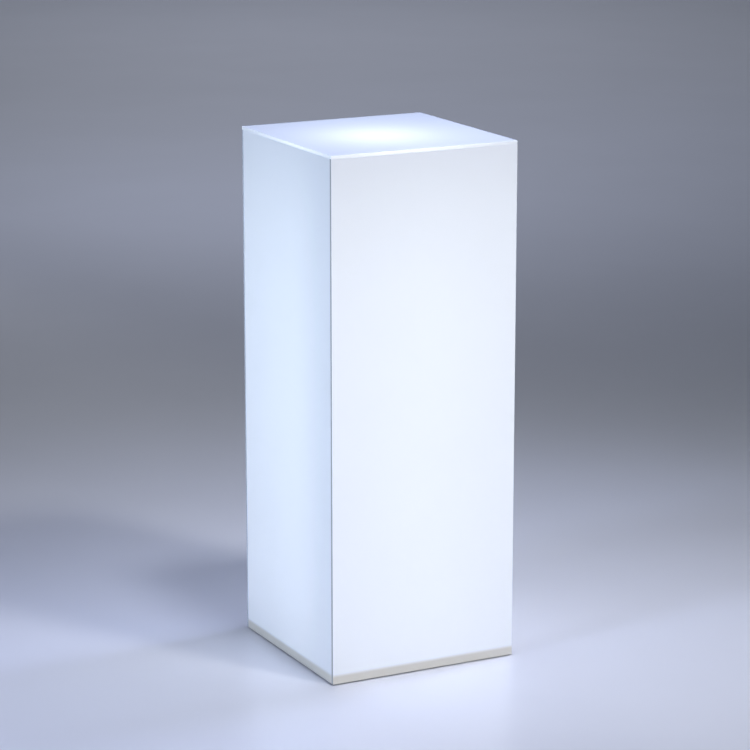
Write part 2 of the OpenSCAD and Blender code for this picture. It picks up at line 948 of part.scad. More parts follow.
top_panel();
front_panel();
back_panel();
left_panel();
right_panel();
rest_blocks();
base_board();
foot_pads();
column_foot();
foot_screws();
grub_screws();
light_column();
light_strip_front();
light_strip_back();
light_strip_left();
light_strip_right();
strip_chips();
crown_plate();
crown_screws();
disc_board();
disc_chips();
disc_connector();
inlet_bracket();
bracket_screws();
power_jack();
jack_contacts();
jack_nut();
switch_body();
switch_contacts();
rocker();
terminal_block();
terminal_screws();
inlet_wires();
column_lead();
strip_wires();
splice_sleeve();
lead_grommet();
cable_clip();
clip_screw();
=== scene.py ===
"""Illuminated square pedestal: an opal acrylic cover, lit from inside, over a board with a light column."""

import math

import bmesh
import bpy
from bpy.props import FloatProperty, FloatVectorProperty, IntProperty, PointerProperty
from mathutils import Matrix, Vector


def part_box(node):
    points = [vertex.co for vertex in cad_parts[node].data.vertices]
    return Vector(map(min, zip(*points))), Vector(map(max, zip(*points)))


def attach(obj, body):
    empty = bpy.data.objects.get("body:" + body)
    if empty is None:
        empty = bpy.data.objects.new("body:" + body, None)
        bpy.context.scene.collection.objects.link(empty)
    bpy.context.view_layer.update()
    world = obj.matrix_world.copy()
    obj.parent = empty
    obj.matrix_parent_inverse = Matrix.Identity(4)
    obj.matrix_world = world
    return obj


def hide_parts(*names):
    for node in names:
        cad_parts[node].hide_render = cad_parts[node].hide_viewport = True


bl_info = {
    "name": "Illuminated Pedestal",
    "version": (1, 0, 0),
    "blender": (4, 5, 0),
    "location": "3D View > Sidebar > Pedestal",
    "description": "Dresses the solids of an illuminated pedestal with sheets, boards, lights and finishes",
    "category": "Object",
}

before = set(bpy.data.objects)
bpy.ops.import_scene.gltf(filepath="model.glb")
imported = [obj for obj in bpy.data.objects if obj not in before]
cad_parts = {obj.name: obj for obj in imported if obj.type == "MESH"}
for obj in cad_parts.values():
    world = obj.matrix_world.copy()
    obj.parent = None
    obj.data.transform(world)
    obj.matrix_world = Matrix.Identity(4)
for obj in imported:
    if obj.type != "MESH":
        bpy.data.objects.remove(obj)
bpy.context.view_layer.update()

# The script's unit is the metre
MM = 0.001
# Closer than this, two places are the same
NEAR = 0.01 * MM
# Vertices closer than this are merged, in a solid and in the finer facets of a wire
WELD, WIRE_WELD = 0.001 * MM, 0.0001 * MM


# ---- Sizes that the frame doesn't give ----

# Cable notch at the foot of the back sheet: half its width, its height above the board, its corners' radius
NOTCH_HALF = 32 * MM
NOTCH_RISE = 28 * MM
NOTCH_ROUND = 6 * MM

# Edge band of the board: its rounded corners, its eased edges, and the glue line's width and depth
BAND_CORNER = 1.9 * MM
BAND_EASE = 0.7 * MM
GLUE_LINE = 0.15 * MM
GLUE_DEPTH = 0.08 * MM

# Felt pads
PAD_RADIUS = 12.5 * MM
PAD_EASE = 0.4 * MM

# Light chip: half its side, the depth of its window, and its legs' middles, width, height and length
CHIP_HALF = 2.5 * MM
WINDOW_DEPTH = 0.25 * MM
LEG_X, LEG_Z = 2.9 * MM, 1.3 * MM
LEG_W, LEG_H, LEG_L = 0.8 * MM, 0.25 * MM, 1.0 * MM

# Chip resistor: its length, width and height, then the place and the same sizes of the caps on its ends
RESISTOR_L, RESISTOR_W, RESISTOR_H = 2.0 * MM, 1.2 * MM, 0.45 * MM
CAP_X = 1.2 * MM
CAP_L, CAP_W, CAP_H = 0.5 * MM, 1.24 * MM, 0.5 * MM

# On a strip: a resistor's height above its chip, and the solder pads' side, thickness, place from the middle
# and height above a cut line
RESISTOR_RISE = 6 * MM
SOLDER_PAD, SOLDER_PAD_T = 2.2 * MM, 0.05 * MM
SOLDER_PAD_X, SOLDER_PAD_RISE = 3.2 * MM, 1.5 * MM

# On the round board: the radius of each ring of chips, its count, its turn as a share of the spacing, and
# the number of resistors
CHIP_RINGS = ((13 * MM, 6, 0.5), (24 * MM, 12, 0.0))
DISC_RESISTORS = 12

# Connector: its corners, wall and rim, the depth and lean of its mouth, and its contacts' size, their place
# from the middle and their depth below the rim
CONNECTOR_ROUND = 1 * MM
CONNECTOR_WALL = 1.1 * MM
CONNECTOR_EASE = 0.2 * MM
MOUTH_DEPTH = 1.6 * MM
MOUTH_LEAN = 0.01 * MM
CONTACT_W, CONTACT_L, CONTACT_H = 0.8 * MM, 2.4 * MM, 1.1 * MM
CONTACT_X = 1.6 * MM
CONTACT_SUNK = 0.6 * MM

# How far the walls are lit past the strips' ends, by the pale board below and the round board above
LIT_BELOW = 63 * MM
LIT_ABOVE = 83 * MM
# Share of a wall's light that the white walls send back and forth, so that it stays even to the corners
EVEN_SHARE = 0.68
# Share of a side sheet's light that leaks into the front sheet at their joint, and how far back that shows
LEAK = 0.56
LEAK_WIDTH = 110 * MM
# The painted foot band, the board's colour and shade painted on the sheet, blurs over this much above and
# below the board's top
BAND_BLUR = 3.5 * MM

# How far the top light's spot lies left and in front of the round board's middle, on the top sheet and as
# its edges take it, and the power with which it fades
SPOT_SHIFT = (10 * MM, 18 * MM)
EDGE_SHIFT = (26 * MM, 26 * MM)
SPOT_FADE = -1.66

# Sine of the 9 degrees above the floor over which the studio gets lighter
HORIZON_RISE = 0.16


# ---- Colours ----


def linear(code):
    """Linear red, green and blue of an sRGB hex colour."""
    parts = [int(code[k : k + 2], 16) / 255 for k in (0, 2, 4)]
    return tuple(c / 12.92 if c <= 0.04045 else ((c + 0.055) / 1.055) ** 2.4 for c in parts)


def rgba(code):
    """The same with an opaque alpha."""
    return (*linear(code), 1.0)


# ---- Settings ----


class CoverSettings(bpy.types.PropertyGroup):
    colour: FloatVectorProperty(
        name="Sheet colour", description="Colour of the opal acrylic by day", subtype="COLOR",
        min=0, max=1, default=linear("EEF1F7"),
    )
    light: FloatVectorProperty(
        name="Light", description="Colour of the light that comes through the sheets", subtype="COLOR",
        min=0, max=1, default=linear("F3FBFF"),
    )
    wall_glow: FloatProperty(
        name="Wall glow", description="Brightness of a wall at the middle of the light column",
        default=0.2294, min=0, max=2,
    )
    top_glow: FloatProperty(
        name="Top glow", description="Brightness of the spot over the top light",
        default=0.51, min=0, max=2,
    )
    top_haze: FloatVectorProperty(
        name="Top haze", description="Light that the whole top sheet gives off", subtype="COLOR",
        min=0, max=1, default=(0.058, 0.099, 0.2),
    )
    edge_glow: FloatProperty(
        name="Edge glow", description="Brightness of the polished edges, if they lay over the top light",
        default=1.6, min=0, max=8,
    )
    polish: FloatProperty(
        name="Polished edge", description="Width of the polished chamfer on the outer edges",
        default=0.5 * MM, min=0.1 * MM, max=2 * MM, unit="LENGTH",
    )
    joint: FloatProperty(
        name="Joint line", description="Width of the break on the edges that are bonded",
        default=0.15 * MM, min=0.05 * MM, max=0.5 * MM, unit="LENGTH",
    )


class BoardSettings(bpy.types.PropertyGroup):
    # This colour is painted on the cover's foot as the board seen through the sheet in painted shade; the
    # band's own finish has its own colours
    band: FloatVectorProperty(
        name="Band colour", description="Colour of the edge band that shows through the cover's foot",
        subtype="COLOR", min=0, max=1, default=linear("DEDAD0"),
    )
    band_thickness: FloatProperty(
        name="Band thickness", description="Thickness of the edge band", default=2 * MM,
        min=0.4 * MM, max=3 * MM, unit="LENGTH",
    )


class LightSettings(bpy.types.PropertyGroup):
    chip_glow: FloatProperty(
        name="Chip glow", description="Brightness of a lit chip's window", default=5.0, min=0, max=50,
    )
    window: FloatProperty(
        name="Chip window", description="Width of the frame round a chip's window", default=0.6 * MM,
        min=0.2 * MM, max=1.5 * MM, unit="LENGTH",
    )
    section: IntProperty(
        name="Chips in a section", description="Chips between two cut lines of a strip",
        default=3, min=1, max=12,
    )


class StageSettings(bpy.types.PropertyGroup):
    floor: FloatVectorProperty(
        name="Floor colour", description="Colour of the satin floor", subtype="COLOR",
        min=0, max=1, default=linear("E3E5EC"),
    )
    roughness: FloatProperty(
        name="Floor roughness", description="Roughness of the satin floor", default=0.3, min=0, max=1,
        subtype="FACTOR",
    )
    studio_light: FloatProperty(
        name="Studio light", description="Light that the grey studio adds by itself",
        default=0.06, min=0, max=1,
    )
    studio_tone: FloatProperty(
        name="Studio tone", description="Tone of the grey studio well above the floor",
        default=0.22, min=0, max=1,
    )
    horizon_tone: FloatProperty(
        name="Horizon tone", description="Tone of the grey studio where the floor ends",
        default=0.11, min=0, max=1,
    )
    radius: FloatProperty(
        name="Floor radius", description="Radius of the floor", default=40.0, min=2, max=100, unit="LENGTH",
    )
    camera_azimuth: FloatProperty(
        name="Camera azimuth", description="Turn of the camera from the front",
        default=math.radians(-27.05), subtype="ANGLE", unit="ROTATION",
    )
    camera_elevation: FloatProperty(
        name="Camera elevation", description="Height of the camera above the horizon",
        default=math.radians(13.78), subtype="ANGLE", unit="ROTATION",
    )
    camera_distance: FloatProperty(
        name="Camera distance", description="From the camera to the point that it looks at", default=4.284,
        min=1, max=20, unit="LENGTH",
    )
    camera_target: FloatVectorProperty(
        name="Camera target", description="Point that the camera looks at", subtype="TRANSLATION",
        unit="LENGTH", default=(-0.0044, 0, 0.4076),
    )
    lens: FloatProperty(
        name="Lens", description="Focal length on a 36 mm sensor", default=141.5, min=20, max=300,
        unit="CAMERA",
    )


SETTINGS = {
    "pedestal_cover": CoverSettings,
    "pedestal_board": BoardSettings,
    "pedestal_lights": LightSettings,
    "pedestal_stage": StageSettings,
}


# ---- Materials ----

# Numbered inputs: 1 and 2 of a Map Range node are the range that goes in, and 3 and 4 the one that comes out.
# A Mix node's colours are 6 and 7, and its output 2 is their mix.

# Most of a noise lies between these
NOISE_LOW, NOISE_HIGH = 0.3, 0.7


def feed(node, inputs):
    """Fills a node's inputs. Each is a value, or the node or socket that is linked into it."""
    for socket, value in dict(inputs).items():
        if isinstance(value, bpy.types.Node):
            value = value.outputs[0]
        if isinstance(value, bpy.types.NodeSocket):
            node.id_data.links.new(value, node.inputs[socket])
        else:
            node.inputs[socket].default_value = value


def add_node(tree, kind, inputs=(), **settings):
    """Adds a shader node with its settings and links."""
    node = tree.nodes.new("ShaderNode" + kind)
    for name, value in settings.items():
        setattr(node, name, value)
    feed(node, inputs)
    return node


def cells_of(size_mm):
    """Scale of a noise whose cells are that many millimetres wide."""
    return 1000 / size_mm


def bands_of(pitch_mm):
    """Scale of a banded wave with that pitch in millimetres, as a wave repeats after tau / 20 units."""
    return math.tau / 20 * 1000 / pitch_mm


def new_finish(name):
    """A material for one real finish, with its tree, its object coordinates and its shader."""
    material = bpy.data.materials.new(name)
    material.use_nodes = True
    tree = material.node_tree
    return material, tree, add_node(tree, "TexCoord").outputs["Object"], tree.nodes["Principled BSDF"]


def column_light(tree, height, low, high, distance):
    """Light that a wall takes at that height from a column lit from low to high, as a share of the most."""
    ends = []
    for end, sign in ((low, 1), (high, -1)):
        # Run along the column to its end, over the reach from the wall to that end
        run = add_node(tree, "Math", {0: height, 1: sign, 2: -sign * end}, operation="MULTIPLY_ADD")
        square = add_node(tree, "Math", {0: run, 1: run, 2: distance**2}, operation="MULTIPLY_ADD")
        reach = add_node(tree, "Math", {0: square}, operation="SQRT")
        ends.append(add_node(tree, "Math", {0: run, 1: reach}, operation="DIVIDE"))
    both = add_node(tree, "Math", {0: ends[0], 1: ends[1]}, operation="ADD")
    return add_node(tree, "Math", {0: both, 1: 0.5}, operation="MULTIPLY")


def glowing(tree, colour, light, *factors):
    """Emission of a colour, as bright as a light times one factor after another."""
    for factor in factors:
        light = add_node(tree, "Math", {0: light, 1: factor}, operation="MULTIPLY")
    return add_node(tree, "VectorMath", {0: colour, "Scale": light}, operation="SCALE")


def clouding(tree, place, size_mm, share):
    """Faint clouds in the light, where the pigment of the sheet is denser, as a factor near 1."""
    cloud = add_node(tree, "TexNoise", {"Vector": place, "Scale": cells_of(size_mm), "Detail": 3.0})
    return add_node(
        tree, "MapRange", {0: cloud, 1: NOISE_LOW, 2: NOISE_HIGH, 3: 1 - share, 4: 1 + share},
    )


def cast_ripple(tree, place):
    """Cell-cast sheet is very slightly wavy, over some centimetres, and carries a fine satin tooth."""
    wave = add_node(tree, "TexNoise", {"Vector": place, "Scale": cells_of(45), "Detail": 1.0})
    # The real tooth is under a tenth of a millimetre, and is drawn coarser so that it shows at all
    tooth = add_node(tree, "TexNoise", {"Vector": place, "Scale": cells_of(0.9), "Detail": 2.0})
    broad = add_node(tree, "Bump", {"Height": wave, "Strength": 0.25, "Distance": 0.4 * MM})
    return add_node(tree, "Bump", {
        "Height": tooth, "Strength": 0.06, "Distance": 0.05 * MM, "Normal": broad,
    })


def opal_walls(name, cover, board, leak=0.0):
    """Opal cell-cast acrylic, 4.5 mm: satin white by day, and at night a soft even light, painted into the
    sheet as its glow, that fades towards the foot and the top, where the column ends. At its foot the board's
    band colour and the board's shade are painted on, and the glow is cut off below the board's top. A side
    sheet loses a share of its light, the leak, into the front sheet that covers its edge."""
    material, tree, place, shader = new_finish(name)
    x, y, z = add_node(tree, "SeparateXYZ", {0: place}).outputs
    strip_low, strip_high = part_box("light_strip_front")
    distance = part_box("strip_chips")[0].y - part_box("front_panel")[1].y
    lit = column_light(tree, z, strip_low.z - LIT_BELOW, strip_high.z + LIT_ABOVE, distance)
    # Sideways along a wall, whichever way it faces
    along_x = add_node(tree, "Math", {0: x}, operation="ABSOLUTE")
    along_y = add_node(tree, "Math", {0: y}, operation="ABSOLUTE")
    across = add_node(tree, "Math", {0: along_x, 1: along_y}, operation="MINIMUM")
    side = add_node(tree, "Math", {0: across, 1: distance}, operation="DIVIDE")
    square = add_node(tree, "Math", {0: side, 1: side, 2: 1.0}, operation="MULTIPLY_ADD")
    fall = add_node(tree, "Math", {0: 1.0, 1: square}, operation="DIVIDE")
    evened = add_node(tree, "Math", {0: fall, 1: 1 - EVEN_SHARE, 2: EVEN_SHARE}, operation="MULTIPLY_ADD")
    # Painted shade: below the board's top the sheet is painted the board's band colour and its glow is cut
    # off, as the board seen through the sheet; this stays on the cover when it is lifted
    board_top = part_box("base_board")[1].z
    above = add_node(
        tree, "MapRange", {0: z, 1: board_top - BAND_BLUR, 2: board_top + BAND_BLUR},
        interpolation_type="SMOOTHSTEP",
    )
    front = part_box("left_panel")[0].y
    kept = add_node(
        tree, "MapRange", {0: y, 1: front, 2: front + LEAK_WIDTH, 3: 1 - leak, 4: 1.0},
        interpolation_type="SMOOTHSTEP",
    )
    # The last factor is the painted shade of the board, and the Mix below paints the board's band colour into
    # the sheet's foot
    factors = (cover.wall_glow, evened, kept, clouding(tree, place, 60, 0.015), above)
    base = add_node(tree, "Mix", {0: above, 6: (*board.band, 1), 7: (*cover.colour, 1)}, data_type="RGBA")
    feed(shader, {
        "Base Color": base.outputs[2], "Roughness": 0.28, "IOR": 1.49, "Normal": cast_ripple(tree, place),
        "Emission Color": glowing(tree, cover.light, lit, *factors),
        "Emission Strength": 1.0,
    })
    return material


def disc_light(tree, place, shift):
    """Light of the round board on the top sheet, as a share of the most: a soft spot near its middle."""
    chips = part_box("disc_chips")
    middle = (chips[0] + chips[1]) / 2
    offset = add_node(tree, "Mapping", {
        "Vector": place, "Location": (shift[0] - middle.x, shift[1] - middle.y, 0), "Scale": (1, 1, 0),
    })
    away = add_node(tree, "VectorMath", {0: offset}, operation="LENGTH").outputs["Value"]
    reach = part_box("top_panel")[0].z - chips[1].z
    step = add_node(tree, "Math", {0: away, 1: reach}, operation="DIVIDE")
    square = add_node(tree, "Math", {0: step, 1: step, 2: 1.0}, operation="MULTIPLY_ADD")
    return add_node(tree, "Math", {0: square, 1: SPOT_FADE}, operation="POWER")


def opal_top(cover):
    """The same acrylic as a lid: the round board under it draws a soft bright spot in the middle."""
    material, tree, place, shader = new_finish("opal_acrylic_top")
    light = disc_light(tree, place, SPOT_SHIFT)
    spot = glowing(tree, cover.light, light, cover.top_glow, clouding(tree, place, 50, 0.015))
    feed(shader, {
        "Base Color": (*cover.colour, 1), "Roughness": 0.28, "IOR": 1.49, "Normal": cast_ripple(tree, place),
        # The haze is light that runs on inside the sheet, and it is bluer than the spot
        "Emission Color": add_node(tree, "VectorMath", {0: spot, 1: cover.top_haze}, operation="ADD"),
        "Emission Strength": 1.0,
    })
    return material


def lit_edge(cover):
    """Diamond-polished edge of a lit sheet: light that is caught in the sheet comes out here, so it is
    bright, most of all in the middle of each side."""
    material, tree, place, shader = new_finish("polished_acrylic_lit_edge")
    light = disc_light(tree, place, EDGE_SHIFT)
    feed(shader, {
        "Base Color": (*cover.colour, 1), "Roughness": 0.12, "IOR": 1.49,
        "Emission Color": glowing(tree, cover.light, light, cover.edge_glow, clouding(tree, place, 8, 0.05)),
        "Emission Strength": 1.0,
    })
    return material


def cut_edge(name, colours, roughness, ridges):
    """Cut edge of an opal sheet: painted greyer than its faces, as painted shade where no inner light comes
    out, with the fine ridges of the saw.
    """
    material, tree, place, shader = new_finish(name)
    saw = add_node(
        tree, "TexWave", {"Vector": place, "Scale": bands_of(1.1), "Distortion": 1.5}, bands_direction="Z",
    )
    colour = add_node(tree, "Mix", {0: saw, 6: rgba(colours[0]), 7: rgba(colours[1])}, data_type="RGBA")
    feed(shader, {
        "Base Color": colour.outputs[2], "Roughness": roughness, "IOR": 1.49,
        "Normal": add_node(tree, "Bump", {"Height": saw, "Strength": ridges, "Distance": 0.05 * MM}),
    })
    return material


def grained_finish(name, colours, roughness, grain_mm, bump, depth=0.05 * MM, stretch=(1, 1, 1), **uniform):
    """A finish whose colour, roughness and relief vary with one grain of a real size. The grain of metals and
    mouldings is finer than the render shows, and is drawn some times coarser."""
    material, tree, place, shader = new_finish(name)
    laid = add_node(tree, "Mapping", {"Vector": place, "Scale": stretch})
    grain = add_node(tree, "TexNoise", {
        "Vector": laid, "Scale": cells_of(grain_mm), "Detail": 4.0, "Roughness": 0.6,
    })
    broad = add_node(tree, "TexNoise", {"Vector": place, "Scale": cells_of(grain_mm * 25), "Detail": 2.0})
    both = add_node(tree, "Math", {0: grain, 1: broad}, operation="ADD")
    # Two noises together lie round 1
    share = add_node(tree, "MapRange", {0: both, 1: 0.75, 2: 1.25})
    colour = add_node(tree, "Mix", {0: share, 6: rgba(colours[0]), 7: rgba(colours[1])}, data_type="RGBA")
    feed(shader, {
        "Base Color": colour.outputs[2],
        "Roughness": add_node(tree, "MapRange", {
            0: grain, 1: NOISE_LOW, 2: NOISE_HIGH, 3: roughness[0], 4: roughness[1],
        }),
        "Normal": add_node(tree, "Bump", {"Height": grain, "Strength": bump, "Distance": depth}),
    })
    feed(shader, {socket.replace("_", " "): value for socket, value in uniform.items()})
    return material


# ---- Meshes ----


def block(bm, low, high, material=0):
    """A box between two corners."""
    low, high = Vector(low), Vector(high)
    place = Matrix.Translation((low + high) / 2) @ Matrix.Diagonal((*(high - low), 1.0))
    made = bmesh.ops.create_cube(bm, size=1.0, matrix=place)["verts"]
    faces = {f for v in made for f in v.link_faces}
    for face in faces:
        face.material_index = material
    return made


def block_at(bm, middle, size, material):
    """A box of a size round a middle."""
    middle, half = Vector(middle), Vector(size) / 2
    return block(bm, middle - half, middle + half, material)


def soften(bm, edges, width, segments):
    """Rounds edges over a width."""
    if not edges:
        raise RuntimeError("there is no edge to round")
    bmesh.ops.bevel(
        bm, geom=edges, offset=width, offset_type="OFFSET", segments=segments, profile=0.5,
        affect="EDGES", clamp_overlap=True, material=-1,
    )


def sharp_edges(bm, degrees):
    """Edges that turn by more than an angle."""
    least = math.radians(degrees)
    return [e for e in bm.edges if len(e.link_faces) == 2 and e.calc_face_angle() > least]


def upright_edges(bm, y=None):
    """Vertical edges, all of them or those in the plane of one y."""
    return [
        e for e in bm.edges
        if abs((e.verts[0].co - e.verts[1].co).normalized().z) > 0.99
        and (y is None or all(abs(v.co.y - y) < NEAR for v in e.verts))
    ]


def add_piece(name, bm, body, finishes, replaced, crease=32):
    """Makes a finished mesh into a piece that moves with a body of the model. Edges that turn by more
    degrees than the crease stay sharp."""
    bmesh.ops.recalc_face_normals(bm, faces=bm.faces)
    mesh = bpy.data.meshes.new(name)
    bm.to_mesh(mesh)
    bm.free()
    mesh.shade_smooth()
    mesh.set_sharp_from_angle(angle=math.radians(crease))
    for finish in finishes:
        mesh.materials.append(finish)
    piece = bpy.data.objects.new(name, mesh)
    bpy.context.scene.collection.objects.link(piece)
    # Keeps large flat faces flat beside their rounded edges
    even = piece.modifiers.new("even_faces", "WEIGHTED_NORMAL")
    even.keep_sharp = True
    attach(piece, body)
    if replaced:
        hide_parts(*replaced)


def merged_copy(node):
    """A mesh to work on, from a solid of the model, with its flat faces whole again."""
    bm = bmesh.new()
    bm.from_mesh(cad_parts[node].data)
    bmesh.ops.remove_doubles(bm, verts=bm.verts, dist=WELD)
    bmesh.ops.dissolve_limit(bm, angle_limit=math.radians(0.5), verts=bm.verts, edges=bm.edges)
    for face in bm.faces:
        face.material_index = 0
    return bm


def eased_piece(node, body, finish, width, segments):
    """A solid of the model with its sharp edges eased, as moulding, casting or tumbling leaves them."""
    bm = merged_copy(node)
    soften(bm, sharp_edges(bm, 40), width, segments)
    add_piece(f"{node}_eased", bm, body, [finish], [node])


def finish_node(finish, *nodes):
    """Gives solids of the model their finish."""
    for node in nodes:
        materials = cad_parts[node].data.materials
        materials.clear()
        materials.append(finish)


# ---- Pieces ----


class PEDESTAL_OT_cover(bpy.types.Operator):
    """Make the five sheets of the cover and the blocks bonded into its corners"""

    bl_idname = "pedestal.cover"
    bl_label = "Opal Cover"

    def execute(self, context):
        cover, board = context.scene.pedestal_cover, context.scene.pedestal_board
        # The front sheet's edges are as the saw left them, and the back sheet's were scraped and polished.
        # Both are
        #         # painted greyer than the faces, the front's most, as painted shade where no inner light
        #         comes out
        edges = {
            "front": cut_edge("sawn_edge_with_painted_shade", ("AAA9AD", "B2B1B4"), 0.45, 0.2),
            "back": cut_edge("polished_acrylic_edge", ("C4C8D2", "D0D4DD"), 0.2, 0.08),
        }
        low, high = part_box("top_panel")
        bm = bmesh.new()
        block(bm, low, high)
        outer = [e for e in bm.edges if any(v.co.z > high.z - NEAR for v in e.verts)]
        soften(bm, outer, cover.polish, 3)
        soften(bm, sharp_edges(bm, 60), cover.joint, 1)
        for face in bm.faces:
            if abs(face.normal.z) < 0.5:
                face.material_index = 1
        add_piece("top_sheet", bm, "cover", [opal_top(cover), lit_edge(cover)], ["top_panel"])
        walls = opal_walls("opal_acrylic_walls", cover, board)
        for name in ("front", "back"):
            self.standing_sheet(name, cover, walls, edges[name])
        walls = opal_walls("opal_acrylic_side_walls", cover, board, LEAK)
        for name in ("left", "right"):
            bm = bmesh.new()
            block(bm, *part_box(f"{name}_panel"))
            soften(bm, list(bm.edges), cover.joint, 1)
            add_piece(f"{name}_sheet", bm, "cover", [walls], [f"{name}_panel"])
        # Clear-bonded offcuts of opal acrylic: smooth and glossy, with faint waves
        offcut = grained_finish(
            "bonded_acrylic_block", ("E4E8F0", "EDF0F6"), (0.2, 0.32), 6, 0.05, IOR=1.49,
        )
        finish_node(offcut, "rest_blocks")
        return {"FINISHED"}

    def standing_sheet(self, name, cover, walls, edge):
        """The front or back sheet, which covers the side sheets' edges and shows its own cut ends."""
        low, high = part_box(f"{name}_panel")
        outer = low.y if name == "front" else high.y
        notch_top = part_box("base_board")[1].z + NOTCH_RISE
        bm = bmesh.new()
        if name == "back":
            self.notched_block(bm, low, high, notch_top)
        else:
            block(bm, low, high)
        ends = [e for e in upright_edges(bm, outer) if abs(abs(e.verts[0].co.x) - high.x) < NEAR]
        soften(bm, ends, cover.polish, 3)
        soften(bm, sharp_edges(bm, 60), cover.joint, 1)
        for face in bm.faces:
            centre = face.calc_center_median()
            at_end = abs(face.normal.x) > 0.9 or face.normal.z < -0.5
            in_notch = abs(centre.x) < NOTCH_HALF + MM and centre.z < notch_top + MM
            if at_end or (in_notch and abs(face.normal.y) < 0.5):
                face.material_index = 1
        add_piece(f"{name}_sheet", bm, "cover", [walls, edge], [f"{name}_panel"])

    def notched_block(self, bm, low, high, notch_top):
        """A box with the cable notch in its foot: its outline, drawn out to the sheet's thickness."""
        outline = [
            (low.x, low.z), (-NOTCH_HALF, low.z), (-NOTCH_HALF, notch_top), (NOTCH_HALF, notch_top),
            (NOTCH_HALF, low.z), (high.x, low.z), (high.x, high.z), (low.x, high.z),
        ]
        face = bm.faces.new([bm.verts.new((x, low.y, z)) for x, z in outline])
        drawn = bmesh.ops.extrude_face_region(bm, geom=[face])
        moved = [v for v in drawn["geom"] if isinstance(v, bmesh.types.BMVert)]
        bmesh.ops.translate(bm, verts=moved, vec=(0, high.y - low.y, 0))
        bmesh.ops.recalc_face_normals(bm, faces=bm.faces)
        corners = [
            e for e in bm.edges
            if all(abs(abs(v.co.x) - NOTCH_HALF) < NEAR for v in e.verts)
            and all(abs(v.co.z - notch_top) < NEAR for v in e.verts)
            and abs(e.verts[0].co.x - e.verts[1].co.x) < NEAR
        ]
        soften(bm, corners, NOTCH_ROUND, 8)


class PEDESTAL_OT_board(bpy.types.Operator):
    """Make the base board with its edge band, and the felt pads under it"""

    bl_idname = "pedestal.board"
    bl_label = "Base Board"

    def execute(self, context):
        board = context.scene.pedestal_board
        low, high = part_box("base_board")
        bm = bmesh.new()
        block(bm, low, high, 1)
        for face in [f for f in bm.faces if abs(f.normal.z) > 0.9]:
            # The band's edge, then its glue line, then the melamine face
            bmesh.ops.inset_region(bm, faces=[face], thickness=board.band_thickness, depth=0.0)
            bmesh.ops.inset_region(bm, faces=[face], thickness=GLUE_LINE, depth=-GLUE_DEPTH)
            face.material_index = 0
        soften(bm, upright_edges(bm), BAND_CORNER, 5)
        level = [e for e in sharp_edges(bm, 60) if e.verts[0].co.z == e.verts[1].co.z]
        soften(bm, level, BAND_EASE, 2)
        # Melamine on chipboard, pressed against a pearl-textured plate: satin, with shallow pits
        melamine = grained_finish(
            "melamine_face", ("DFDCD4", "E3E0D9"), (0.4, 0.47), 1.2, 0.12, IOR=1.55, depth=0.08 * MM,
        )
        # Extruded ABS band, glued on and buffed: a little greyer and smoother than the faces
        band = grained_finish("abs_edge_band", ("CCC9C4", "D3D0CB"), (0.32, 0.42), 3, 0.06, IOR=1.53)
        add_piece("board_with_edge_band", bm, "base", [melamine, band], ["base_board"], 20)
        self.pads()
        return {"FINISHED"}

    def pads(self):
        """Four round pads, one near each corner of the board."""
        low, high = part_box("foot_pads")
        bm = bmesh.new()
        for x in (low.x + PAD_RADIUS, high.x - PAD_RADIUS):
            for y in (low.y + PAD_RADIUS, high.y - PAD_RADIUS):
                bmesh.ops.create_cone(
                    bm, cap_ends=True, segments=48, radius1=PAD_RADIUS, radius2=PAD_RADIUS,
                    depth=high.z - low.z, matrix=Matrix.Translation((x, y, (low.z + high.z) / 2)),
                )
        soften(bm, sharp_edges(bm, 60), PAD_EASE, 2)
        # Needled wool felt: fibres some tenths of a millimetre thick, lying every way
        felt = grained_finish(
            "needled_wool_felt", ("4A4B4E", "6A6B6F"), (0.9, 1.0), 0.7, 0.9, depth=0.3 * MM,
            Sheen_Weight=0.4, Sheen_Roughness=0.5,
        )
        add_piece("felt_pads", bm, "base", [felt], ["foot_pads"])


class PEDESTAL_OT_column(bpy.types.Operator):
    """Finish the cast foot, the extruded column and their screws"""

    bl_idname = "pedestal.column"
    bl_label = "Foot and Column"

    def execute(self, context):
        # Sand-cast and shot-blasted aluminium: even, dull and slightly pebbled
        cast = grained_finish(
            "shot_blasted_cast_aluminium", ("9A9C9F", "B4B6B9"), (0.5, 0.62), 0.8, 0.35, Metallic=1.0,
            depth=0.15 * MM,
        )
        eased_piece("column_foot", "base", cast, 0.5 * MM, 2)
        # Extruded and clear anodised aluminium: the die leaves fine lines along the length
        drawn = grained_finish(
            "clear_anodised_extrusion", ("C3C6CA", "D2D5D9"), (0.3, 0.42), 0.35, 0.18, Metallic=1.0,
            stretch=(1, 1, 0.004), depth=0.04 * MM,
        )
        finish_node(drawn, "light_column")
        # Zinc-plated and passivated steel: bright, slightly blue, mottled by the passivation
        zinc = grained_finish(
            "zinc_plated_steel", ("B4B9C0", "CDD1D6"), (0.24, 0.36), 0.6, 0.06, Metallic=1.0,
        )
        finish_node(zinc, "foot_screws", "crown_screws", "bracket_screws", "clip_screw")
        # Black-oxide steel: nearly black, with an oily satin
        blacked = grained_finish(
            "black_oxide_steel", ("24252A", "303238"), (0.34, 0.46), 0.5, 0.08, Metallic=1.0,
        )
        finish_node(blacked, "grub_screws")
        return {"FINISHED"}


